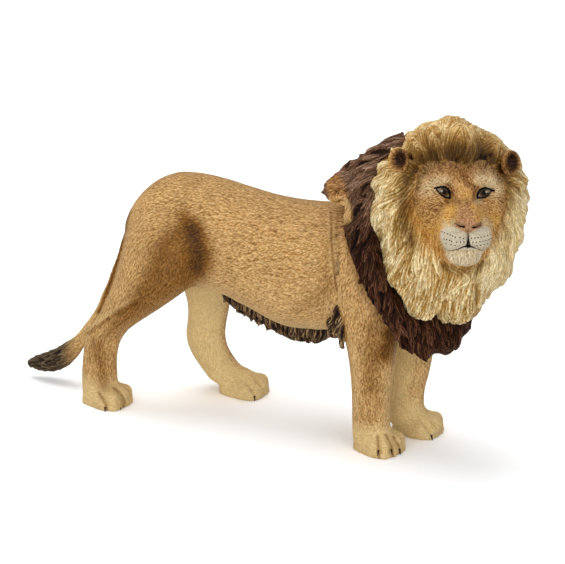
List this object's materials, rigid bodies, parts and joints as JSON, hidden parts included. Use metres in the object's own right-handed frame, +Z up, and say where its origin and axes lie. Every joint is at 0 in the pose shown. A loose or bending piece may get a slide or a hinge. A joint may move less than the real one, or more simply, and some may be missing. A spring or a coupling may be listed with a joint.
{
  "type": "toy wild animal figure",
  "caption": "Solid hand-painted figure of a standing male lion, its head turned to its right and its tail hanging clear of the ground.",
  "frame": {"origin": "the middle of the bounding box's underside, on the ground between the paws", "axes": "+X from the rump to the chest, +Y to the animal's left, +Z up from the soles"},
  "size_m": [0.1164, 0.0336, 0.072],
  "materials": {
    "coat": "matt hand-painted PVC with short fur strokes",
    "pale_coat": "matt hand-painted PVC, cream with a light ochre wash",
    "dark_hair": "matt hand-painted PVC, dark brown with lighter brushed ridges",
    "light_hair": "matt hand-painted PVC, straw with brown wash in the grooves",
    "face": "matt hand-painted PVC with white muzzle, dark eye lines and small painted eyes"
  },
  "bodies": {
    "root": {"trunk": "coat", "right_foreleg": "coat", "left_foreleg": "pale_coat", "right_hind_leg": "coat", "left_hind_leg": "pale_coat", "tail": "coat", "belly_fringe": "dark_hair", "right_elbow_tuft": "dark_hair", "mane_collar": "dark_hair", "face_ruff": "light_hair", "head": "face", "right_ear": "coat", "left_ear": "coat"}
  },
  "joints": []
}
